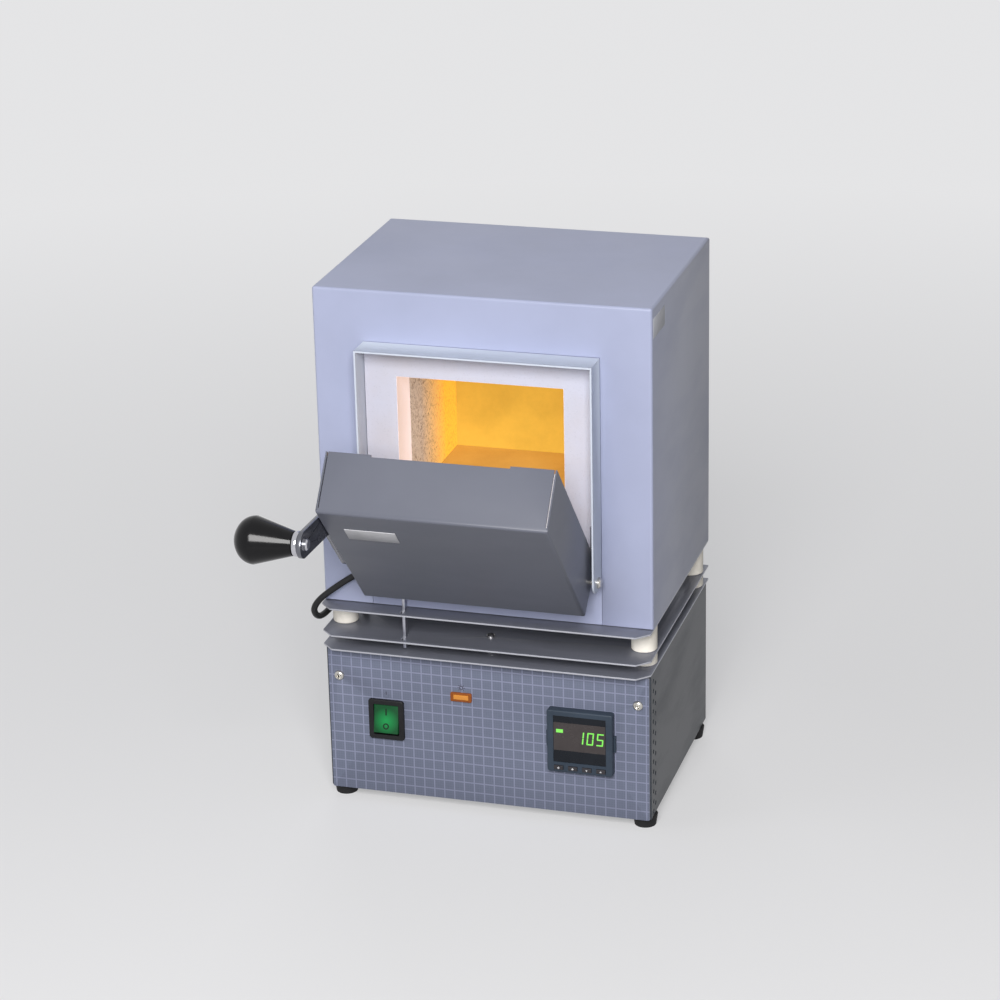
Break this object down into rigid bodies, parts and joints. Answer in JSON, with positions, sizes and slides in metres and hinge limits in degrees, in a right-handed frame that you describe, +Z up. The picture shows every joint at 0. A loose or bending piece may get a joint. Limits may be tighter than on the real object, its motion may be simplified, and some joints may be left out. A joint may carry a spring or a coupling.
{
  "type": "muffle furnace",
  "caption": "Bench muffle furnace with a drop-down insulated front door on a control cabinet with temperature controller, power switch and door interlock.",
  "frame": {"origin": "bottom centre of the bounding box with the door open, on the surface the feet stand on", "axes": "+Z up, the longest extent; -Y towards the front with the door; +X to the right seen from the front"},
  "size_m": [0.2502, 0.344, 0.3874],
  "materials": {
    "casing_paint": "fine satin blue-grey",
    "door_paint": "satin slate grey",
    "panel_print": "satin blue-grey with a fine grid",
    "dark_paint": "satin charcoal",
    "sheet_steel": "brushed",
    "screw_steel": "zinc plated",
    "white_ceramic": "unglazed",
    "fibre_board": "matte fibre board",
    "firebrick": "matte fired",
    "hot_wire": "oxidised wire",
    "chrome_plate": "polished",
    "black_plastic": "satin black",
    "knob_plastic": "glossy black",
    "window_plastic": "glossy smoked",
    "button_plastic": "grey",
    "green_plastic": "lit green",
    "lamp_plastic": "satin dark orange",
    "amber_plastic": "clear amber",
    "foot_rubber": "matte black",
    "lead_sheath": "matte black",
    "block_plastic": "off-white"
  },
  "bodies": {
    "furnace": {"furnace_casing": "casing_paint", "furnace_rear_panel": "casing_paint", "rear_panel_screws": "screw_steel", "furnace_base_plate": "sheet_steel", "heat_shield_tray": "sheet_steel", "tray_screws": "screw_steel", "tray_standoffs": "screw_steel", "upper_spacers": "white_ceramic", "lower_spacers": "white_ceramic", "tie_bolts": "screw_steel", "tie_nuts": "screw_steel", "wire_conduits": "white_ceramic", "door_collar": "casing_paint", "front_board": "fibre_board", "heating_plate_left": "firebrick", "heating_plate_right": "firebrick", "heating_coils": "hot_wire", "chamber_roof": "firebrick", "hearth_plate": "firebrick", "chamber_back": "firebrick", "insulation_top": "fibre_board", "insulation_bottom": "fibre_board", "insulation_sides": "fibre_board", "insulation_rear": "fibre_board", "thermocouple": "screw_steel", "hinge_pins": "screw_steel", "stop_screws": "screw_steel", "door_switch": "black_plastic", "cabinet_shell": "dark_paint", "cabinet_top_plate": "sheet_steel", "cabinet_rear_panel": "dark_paint", "cord_gland": "black_plastic", "heater_relay": "block_plastic", "terminal_block": "block_plastic", "control_panel": "panel_print", "panel_screws": "screw_steel", "power_switch_body": "black_plastic", "lamp_bezel": "lamp_plastic", "lamp_lens": "amber_plastic", "controller_case": "black_plastic", "controller_frame": "black_plastic", "controller_window": "window_plastic", "rubber_feet": "foot_rubber", "foot_screws": "screw_steel", "lead": "lead_sheath", "lead_glands": "foot_rubber"},
    "door": {"door_shell": "door_paint", "door_insulation": "fibre_board", "handle_arm": "chrome_plate", "arm_screws": "screw_steel", "handle_ferrule": "chrome_plate", "handle_knob": "knob_plastic", "handle_screw": "chrome_plate"},
    "strap": {"interlock_strap": "sheet_steel"},
    "plunger": {"switch_plunger": "black_plastic"},
    "rocker": {"power_rocker": "green_plastic"},
    "button_1": {"controller_button_1": "button_plastic"},
    "button_2": {"controller_button_2": "button_plastic"},
    "button_3": {"controller_button_3": "button_plastic"},
    "button_4": {"controller_button_4": "button_plastic"}
  },
  "joints": [
    {"name": "door_hinge", "type": "hinge", "parent": "furnace", "child": "door", "pos_m": [0.0036, -0.00922, 0.2098], "axis": [-1, 0, 0], "range_deg": [0, 43]},
    {"name": "strap_slide", "type": "slide", "parent": "furnace", "child": "strap", "axis": [0, 0, 1], "range_m": [0, 0.0045]},
    {"name": "plunger_slide", "type": "slide", "parent": "furnace", "child": "plunger", "axis": [0, 0, 1], "range_m": [0, 0.0015]},
    {"name": "power_rocker_tilt", "type": "hinge", "parent": "furnace", "child": "rocker", "pos_m": [-0.0719, -0.01402, 0.0665], "axis": [1, 0, 0], "range_deg": [0, 16]},
    {"name": "button_1_press", "type": "slide", "parent": "furnace", "child": "button_1", "axis": [0, 1, 0], "range_m": [0, 0.0008], "stiffness_N_per_m": 200},
    {"name": "button_2_press", "type": "slide", "parent": "furnace", "child": "button_2", "axis": [0, 1, 0], "range_m": [0, 0.0008], "stiffness_N_per_m": 200},
    {"name": "button_3_press", "type": "slide", "parent": "furnace", "child": "button_3", "axis": [0, 1, 0], "range_m": [0, 0.0008], "stiffness_N_per_m": 200},
    {"name": "button_4_press", "type": "slide", "parent": "furnace", "child": "button_4", "axis": [0, 1, 0], "range_m": [0, 0.0008], "stiffness_N_per_m": 200}
  ],
  "couplings": [
    {"joint": "strap_slide", "follows": "door_hinge", "m_per_rad": 0.005983},
    {"joint": "plunger_slide", "follows": "door_hinge", "m_per_rad": 0.001985}
  ]
}
